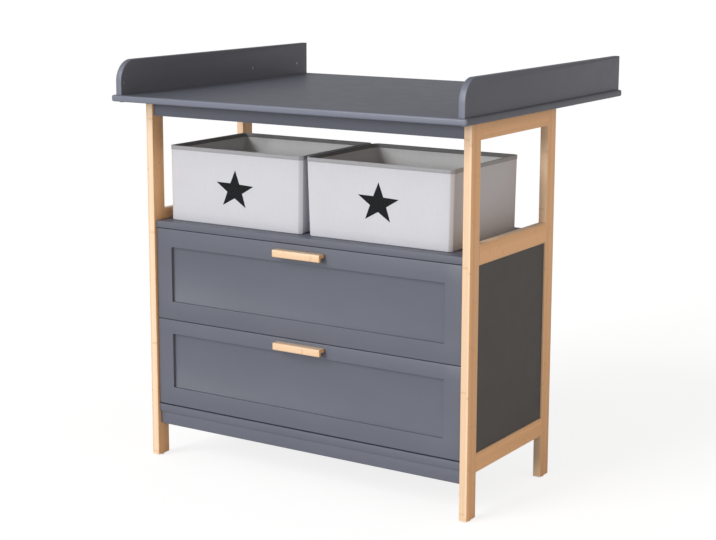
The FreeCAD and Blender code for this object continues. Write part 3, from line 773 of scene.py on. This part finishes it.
def aim_cam(low, high):
    """A cam in a board opens downwards; one in an apron opens to the inside of the case."""
    if abs(high.z - low.z - CAM_LENGTH) < TOUCH:
        return at_face(low, high, Z_AXIS, 1)
    in_front = (low.y + high.y) / 2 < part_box("shelf_board")[0][Y_AXIS] + FRONT_ZONE
    return at_face(low, high, Y_AXIS, -1 if in_front else 1)


fill_places("guard_barrel_nuts", slotted_nut(NUT_LENGTH), away_from_middle, finish=dark_zinc)
fill_places("guard_bolts", socket_bolt(BOLT_LENGTH),
            lambda low, high: at_face(low, high, Z_AXIS, 1, BOLT_UNDER_HEAD), finish=dark_zinc)
fill_places("bracket_screws", pan_screw(BRACKET_SCREW), aim_bracket_screw)
fill_places("cam_locks", cam_lock(CAM_LENGTH), aim_cam)
fill_places("leg_glides", leg_glide(GLIDE_HEIGHT),
            lambda low, high: at_face(low, high, Z_AXIS, 1),
            finish=glide_plastic, slot="glide_plastic")
fill_places("slide_screws", flush_screw(SLIDE_SCREW), away_from_middle)
for level_name in LEVELS:
    drawer = level_name + "_drawer"
    fill_places(drawer + "_handle_screws", pan_screw(HANDLE_SCREW),
                lambda low, high: at_face(low, high, Y_AXIS, -1, PAN_HEIGHT), body=drawer)
    fill_places(drawer + "_slide_screws", flush_screw(SLIDE_SCREW), towards_middle, body=drawer)
    fill_places(level_name + "_slide_balls", steel_ball(),
                lambda low, high: ((low + high) / 2, along_axis(Z_AXIS, 1)),
                body=level_name + "_cages", finish=ball_steel)


# ---- changing top, guards, laths and boards -----------------------------------------------------
TOP_CORNER, TOP_ROUNDING = 6.0 * MM, 4.5 * MM
GUARD_CORNER, GUARD_ROUNDING = 50.0 * MM, 1.8 * MM
GUARD_END_ROUNDING = 1.2 * MM
NUT_HOLE, NUT_HOLE_DEPTH = 4.1 * MM, 12.4 * MM
LATH_ROUNDING, POST_FOOT_ROUNDING, BOARD_ROUNDING = 1.4 * MM, 1.0 * MM, 1.0 * MM


def make_top():
    """The top board with small round corners and a rounded-over rim."""
    low, high = corners_of("changing_top")
    board = new_block("changing_top_board", low, high)
    round_edges(board, TOP_CORNER, segments=6, wanted=runs_along(Z_AXIS))
    round_edges(board, TOP_ROUNDING, segments=6, wanted=lambda a, b: abs(a.z - b.z) < TOUCH)
    shade()
    settle(board, top_paint_painted_highlight, "case", "grey_paint", "changing_top")


def make_guard(side):
    """A guard with its front corner cut to a wide curve, and holes for the nuts inside."""
    node = side + "_guard"
    low, high = corners_of(node)
    guard = new_block(node + "_board", low, high)
    round_edges(guard, GUARD_CORNER, segments=24, wanted=lambda a, b:
                max(a.y, b.y) < low.y + TOUCH and min(a.z, b.z) > high.z - TOUCH)
    round_edges(guard, GUARD_END_ROUNDING, segments=3, wanted=lambda a, b:
                min(a.y, b.y) > high.y - TOUCH and min(a.z, b.z) > high.z - TOUCH)
    round_edges(guard, GUARD_ROUNDING, segments=4, wanted=lambda a, b:
                abs(a.x - b.x) < TOUCH and max(a.z, b.z) > low.z + TOUCH)
    inner, outward = (high.x, -1) if side == "left" else (low.x, 1)
    for nut_low, nut_high in solids_of("guard_barrel_nuts"):
        middle = (nut_low + nut_high) / 2
        if low.x < middle.x < high.x:
            middle.x = inner + outward * (NUT_HOLE_DEPTH - MM) / 2
            cut_out(guard, new_rod("tool", NUT_HOLE, NUT_HOLE_DEPTH + MM, middle, (1, 0, 0)))
    shade()
    settle(guard, top_paint_painted_highlight, "case", "grey_paint", node)


def make_lath(node, axis, finish, slot, rounding):
    """A planed lath or board with rounded long edges; its ends butt against the next piece."""
    low, high = corners_of(node)
    lath = new_block(node + "_planed", low, high)
    round_edges(lath, rounding, segments=3, wanted=runs_along(axis))
    if node.endswith("_post"):
        round_edges(lath, POST_FOOT_ROUNDING, segments=2, wanted=lambda a, b:
                    max(a.z, b.z) < low.z + TOUCH)
    shade()
    settle(lath, finish, "case", slot, node)


make_top()
for side_name in SIDES:
    make_guard(side_name)
    for post_end in ("front", "back"):
        make_lath(f"{side_name}_{post_end}_post", Z_AXIS, post_bamboo, "bamboo", LATH_ROUNDING)
    for level_name in ("lower", "shelf", "top"):
        make_lath(f"{side_name}_{level_name}_rail", Y_AXIS, rail_bamboo, "bamboo", LATH_ROUNDING)
for board_name in ("shelf_board", "bottom_board", "plinth_rail", "front_apron", "back_apron"):
    make_lath(board_name, X_AXIS, paint, "grey_paint", BOARD_ROUNDING)


# ---- baskets ------------------------------------------------------------------------------------
BASKET_WALL, BASKET_FLOOR, BASKET_FOOT_ROUNDING = 3.2 * MM, 3.0 * MM, 3.0 * MM
BASKET_CORNER = 7.5 * MM     # a flat seam runs down each corner
CORNER_EASING = 1.3 * MM
BASE_CORNER, BASE_ROUNDING = 4.5 * MM, 0.8 * MM
HEM_HEIGHT, HEM_THICKNESS = 9.0 * MM, 0.7 * MM
BINDING_HEIGHT, BINDING_THICKNESS = 9.5 * MM, 0.6 * MM
BAND_EASING = 0.3            # rounding of a hem's or binding's edges, as a share of its thickness
ROWS_ACROSS, ROWS_DEEP, ROWS_UP = 13, 11, 8
# How far a basket's left and right wall lean in at the foot.
LEAN = {"left": (1.0 * MM, 2.5 * MM), "right": (7.0 * MM, 3.0 * MM)}
WALL_BOW = 1.6 * MM          # how far a wall is drawn in between its corners
BOW_SHAPE, BULGE_SHAPE = 4, 16   # the higher, the flatter the middle and the shorter the ends
BELLY = 0.7                  # share of the bow that comes and goes with the height
# How far the two walls that face each other bow out; the left basket's is drawn in.
WALL_BULGE = {"left": -3.5 * MM, "right": 5.0 * MM}
BULGE_REACH = 0.94           # of the half depth, so that it stays clear of the corner seams
BULGE_START = (10.0 * MM, 14.0 * MM, 19.0 * MM)   # from the corner, where it needs more rows
STITCH_LENGTH, STITCH_RADIUS = 2.6 * MM, 0.35 * MM
STITCH_STEP, STITCH_DROP = 4.0 * MM, 7.6 * MM     # from stitch to stitch, and below the rim
STAR_POINTS, STAR_CUTS = 5, 3
STAR_RADIUS, STAR_THICKNESS = 51.2 * MM, 0.25 * MM
STAR_WAIST = 0.40            # radius between two points, as a share of the points'
STAR_WIDENING, STAR_FLATTENING = 1.09, 0.915
STAR_TILT = math.radians(2.0)
STAR_PLACE = {"left": (-204.5 * MM, 665.5 * MM), "right": (183.0 * MM, 669.5 * MM)}


def leant(place, side, low, high):
    """Where a point of a straight basket goes: the walls lean in to the foot and bow a little."""
    left_lean, right_lean = LEAN[side]
    centre = (low + high) / 2
    half = (high - low) / 2
    across = (place.x - centre.x) / half.x
    depth = (place.y - centre.y) / half.y
    down = max(0.0, min(1.0, (high.z - place.z) / (high.z - low.z)))
    lean = left_lean * (1 - across) / 2 - right_lean * (1 + across) / 2
    bow = WALL_BOW * (1 - BELLY + BELLY * math.sin(math.pi * down))
    bow_x = -across * max(0.0, 1 - depth ** BOW_SHAPE) * bow
    if (across > 0) == (side == "left"):
        reach = min(1.0, abs(depth) / BULGE_REACH)
        bow_x = across * (1 - reach ** BULGE_SHAPE) * WALL_BULGE[side]
    bow_y = -depth * max(0.0, 1 - across ** BOW_SHAPE) * bow
    return Vector((place.x + lean * down + bow_x, place.y + bow_y, place.z))


def lean_walls(piece, side, low, high):
    for point in piece.data.vertices:
        point.co = leant(point.co, side, low, high)


def add_rows(piece, low, high):
    """Cut rows that let the walls bow, with a few more where the bulge begins."""
    slice_across(piece, X_AXIS, between(low.x, high.x, ROWS_ACROSS))
    rows = between(low.y, high.y, ROWS_DEEP)
    rows += [low.y + start for start in BULGE_START] + [high.y - start for start in BULGE_START]
    slice_across(piece, Y_AXIS, sorted(rows))


def cornered_tower(name, low, high, corner):
    """A block whose upright edges are cut flat and then eased."""
    tower = new_block(name, low, high)
    for offset, segments in ((corner, 1), (CORNER_EASING, 2)):
        round_edges(tower, offset, segments, runs_along(Z_AXIS))
    return tower


def corner_at(inset):
    """How far the flat of a corner cuts back on a wall that lies inside the cloth."""
    return BASKET_CORNER - inset * (2 - math.sqrt(2))


def wall_band(name, side, low, high, inset, height, outwards, thickness):
    """A strip of cloth round the rim, laid on the outer or the inner face of the walls."""
    step = Vector((inset, inset, 0))
    start = low + step
    end = high - step
    start.z = high.z - height
    band = cornered_tower(name, start, end, corner_at(inset))
    open_with(band, "FACE", lambda centre, normal: abs(normal.z) > FACING)
    bpy.ops.mesh.delete(type="FACE")
    close()
    add_rows(band, low, high)
    lean_walls(band, side, low, high)
    modify(band, "SOLIDIFY", thickness=thickness, offset=1.0 if outwards else -1.0)
    soften(band, thickness * BAND_EASING, segments=1, angle=1.0)
    return band


def rim_path(side, low, high, inset, height, step):
    """Points and headings at even steps round the wall at one height."""
    corner = corner_at(inset)
    left, right = low.x + inset, high.x - inset
    front, back = low.y + inset, high.y - inset
    lengths = [right - left - 2 * corner, back - front - 2 * corner]
    corners = [(right - corner, front + corner), (right - corner, back - corner),
               (left + corner, back - corner), (left + corner, front + corner)]
    places = []
    for quarter in range(4):
        heading = quarter * math.pi / 2
        along = Vector((math.cos(heading), math.sin(heading), 0))
        out = Vector((math.sin(heading), -math.cos(heading), 0))
        turn_x, turn_y = corners[quarter]
        straight = lengths[quarter % 2]
        start = Vector((turn_x, turn_y, height)) + out * corner - along * straight
        count = round(straight / step)
        for index in range(count):
            places.append((start + along * straight * (index + 0.5) / count, heading))
        count = max(1, round(corner * math.sqrt(2) / step))
        for index in range(count):
            share = (index + 0.5) / count
            spoke = out * corner * (1 - share) + along * corner * share
            places.append((Vector((turn_x, turn_y, height)) + spoke, heading + math.pi / 4))
    return [(leant(place, side, low, high), heading) for place, heading in places]


def stitch_row(name, places):
    """One stitch is modelled, then copied along the row into one mesh."""
    bpy.ops.mesh.primitive_uv_sphere_add(segments=6, ring_count=4, radius=1.0)
    stitch = bpy.context.object
    stitch.scale = (STITCH_LENGTH / 2, STITCH_RADIUS, STITCH_RADIUS)
    stitch = named(name)
    corners = [point.co.copy() for point in stitch.data.vertices]
    faces = [tuple(face.vertices) for face in stitch.data.polygons]
    all_corners, all_faces = [], []
    for place, heading in places:
        first = len(all_corners)
        cos, sin = math.cos(heading), math.sin(heading)
        for corner in corners:
            all_corners.append((place.x + corner.x * cos - corner.y * sin,
                                place.y + corner.x * sin + corner.y * cos, place.z + corner.z))
        all_faces.extend(tuple(first + index for index in face) for face in faces)
    mesh = bpy.data.meshes.new(name)
    mesh.from_pydata(all_corners, [], all_faces)
    stitch.data = mesh
    return stitch


def make_star(side, low, high):
    """A plain five-pointed star printed on the middle of the front wall."""
    bpy.ops.mesh.primitive_circle_add(vertices=2 * STAR_POINTS, radius=STAR_RADIUS,
                                      fill_type="NGON", rotation=(math.pi / 2, 0, 0))
    star = named(side + "_basket_star")
    lean = Matrix.Rotation(STAR_TILT, 3, "Y")
    for point in star.data.vertices:
        turn = round(math.atan2(point.co.x, point.co.z) / (math.pi / STAR_POINTS))
        if turn % 2:
            point.co *= STAR_WAIST
        point.co.x *= STAR_WIDENING
        point.co.z *= STAR_FLATTENING
        point.co = lean @ point.co
    only(star)
    bpy.ops.object.mode_set(mode="EDIT")
    bpy.ops.mesh.select_all(action="SELECT")
    bpy.ops.mesh.poke()
    bpy.ops.mesh.subdivide(number_cuts=STAR_CUTS)
    close()
    star_x, star_z = STAR_PLACE[side]
    for point in star.data.vertices:
        place = point.co + Vector((star_x, low.y, star_z))
        point.co = leant(place, side, low, high)
    modify(star, "SOLIDIFY", thickness=STAR_THICKNESS, offset=0.0)
    settle(star, star_ink, side + "_basket", "basket_trim")


def faces_inward(face, low, high):
    """True for the faces of the lining: the walls' inner faces and the floor."""
    if abs(face.normal.z) > FACING:
        return face.normal.z > 0 and face.center.z < high.z - MM
    to_middle = (low + high) / 2 - face.center
    to_middle.z = 0
    return face.normal.dot(to_middle) > 0


def make_basket(side):
    """Cloth shell with its lining, hem, binding, stitches, floor board and printed star."""
    body = side + "_basket"
    shell_node, trim_node, base_node = (body + ending for ending in ("_shell", "_trim", "_base"))
    low, high = corners_of(shell_node)
    high.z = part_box(trim_node)[1][Z_AXIS]

    shell = cornered_tower(body + "_cloth", low, high, BASKET_CORNER)
    open_with(shell, "FACE", lambda centre, normal: normal.z > FACING)
    bpy.ops.mesh.inset(thickness=BASKET_WALL)
    push_out(z=low.z + BASKET_FLOOR - high.z)
    close()
    round_edges(shell, BASKET_FOOT_ROUNDING, segments=2, wanted=lambda a, b:
                max(a.z, b.z) < low.z + TOUCH)
    add_rows(shell, low, high)
    slice_across(shell, Z_AXIS, between(low.z, high.z, ROWS_UP))
    shell.data.materials.append(cloth)
    # the inner faces and the floor take the lining, lightened with painted light
    shell.data.materials.append(lining)
    for face in shell.data.polygons:
        if faces_inward(face, low, high):
            face.material_index = 1
    lean_walls(shell, side, low, high)
    only(shell)
    shade(angle=0.7)
    settle(shell, cloth, body, "basket_fabric", shell_node)

    hem = wall_band(body + "_hem", side, low, high, 0.0, HEM_HEIGHT, True, HEM_THICKNESS)
    settle(hem, hem_tape, body, "basket_trim")
    edging = wall_band(body + "_binding", side, low, high, BASKET_WALL, BINDING_HEIGHT, False,
                       BINDING_THICKNESS)
    settle(edging, binding, body, "basket_trim", trim_node)
    stitch_line = rim_path(side, low, high, -HEM_THICKNESS, high.z - STITCH_DROP, STITCH_STEP)
    settle(stitch_row(body + "_hem_stitches", stitch_line), thread, body, "basket_trim")

    base_low, base_high = corners_of(base_node)
    base = cornered_tower(body + "_base_board", base_low, base_high, BASE_CORNER)
    lean_walls(base, side, low, high)
    soften(base, BASE_ROUNDING)
    # the floor board takes the lining too, with its painted light
    settle(base, lining, body, "basket_board", base_node)
    make_star(side, low, high)


for side_name in SIDES:
    make_basket(side_name)


# ---- studio -------------------------------------------------------------------------------------
CAMERA_PLACE = (2.0265, -3.2334, 1.2402)
CAMERA_TURN = math.radians(33.283)
CAMERA_DOWN = math.radians(10.35)
CAMERA_LENS, CAMERA_SENSOR = 81.81, 36.0
CAMERA_SHIFT = (0.03, -0.05)
WHITE = (1.0, 1.0, 1.0)
# Each soft light with the direction that it comes from, its strength, its spread and its colour.
LIGHTS = (("key", (-0.30, -0.58, 0.46), 1.28, 0.5, WHITE),
          ("low_front", (-0.16, -0.74, 0.145), 1.28, 0.25, WHITE),
          ("fill", (0.9, -0.2, 0.25), 0.45, 1.0, (1.0, 0.72, 0.45)))
AMBIENT = 0.38
FLOOR_SIZE = 60.0
FLOOR_TONE = 0.82            # of the floor as it lights the object
FLOOR_SEEN, FLOOR_GLOW = 0.3, 0.80   # the floor as the camera sees it: tone and own light


def make_camera():
    camera = bpy.data.objects.new("camera", bpy.data.cameras.new("camera"))
    bpy.context.scene.collection.objects.link(camera)
    camera.location = CAMERA_PLACE
    camera.rotation_euler = (math.pi / 2 - CAMERA_DOWN, 0, CAMERA_TURN)
    camera.data.sensor_width = CAMERA_SENSOR
    camera.data.lens = CAMERA_LENS
    camera.data.shift_x, camera.data.shift_y = CAMERA_SHIFT
    bpy.context.scene.camera = camera


def make_light(name, towards, strength, spread, colour):
    """A sun with a soft edge, in a direction from the object."""
    lamp = bpy.data.lights.new(name, "SUN")
    lamp.energy = strength
    lamp.angle = spread
    lamp.color = colour
    sun = bpy.data.objects.new(name, lamp)
    bpy.context.scene.collection.objects.link(sun)
    sun.rotation_euler = turn_to(towards)


def make_floor():
    bpy.ops.mesh.primitive_plane_add(size=FLOOR_SIZE)
    floor = named("floor")
    material = bpy.data.materials.new("floor_white")
    material.use_nodes = True
    tree = material.node_tree
    tree.nodes.clear()
    plain, seen = [new_node(tree, "BsdfDiffuse", {"Color": (tone, tone, tone, 1)}).outputs[0]
                   for tone in (FLOOR_TONE, FLOOR_SEEN)]
    glow = new_node(tree, "Emission", {"Color": (*WHITE, 1), "Strength": FLOOR_GLOW}).outputs[0]
    bright = new_node(tree, "AddShader", {0: seen, 1: glow}).outputs[0]
    in_view = new_node(tree, "LightPath").outputs["Is Camera Ray"]
    surface = new_node(tree, "MixShader", {0: in_view, 1: plain, 2: bright}).outputs[0]
    new_node(tree, "OutputMaterial", {"Surface": surface})
    floor.data.materials.append(material)


def make_world():
    world = bpy.data.worlds.new("studio")
    bpy.context.scene.world = world
    world.use_nodes = True
    tree = world.node_tree
    background = tree.nodes["Background"]
    background.inputs["Color"].default_value = (*WHITE, 1)
    rays = new_node(tree, "LightPath").outputs
    seen = new_node(tree, "Math", {0: rays["Is Camera Ray"], 1: rays["Is Transmission Ray"]},
                    operation="MAXIMUM").outputs[0]
    level = new_node(tree, "MapRange", {"Value": seen, "To Min": AMBIENT, "To Max": 1.0})
    tree.links.new(level.outputs[0], background.inputs["Strength"])


make_camera()
make_floor()
make_world()
for light in LIGHTS:
    make_light(*light)
bpy.context.scene.view_settings.view_transform = "Standard"
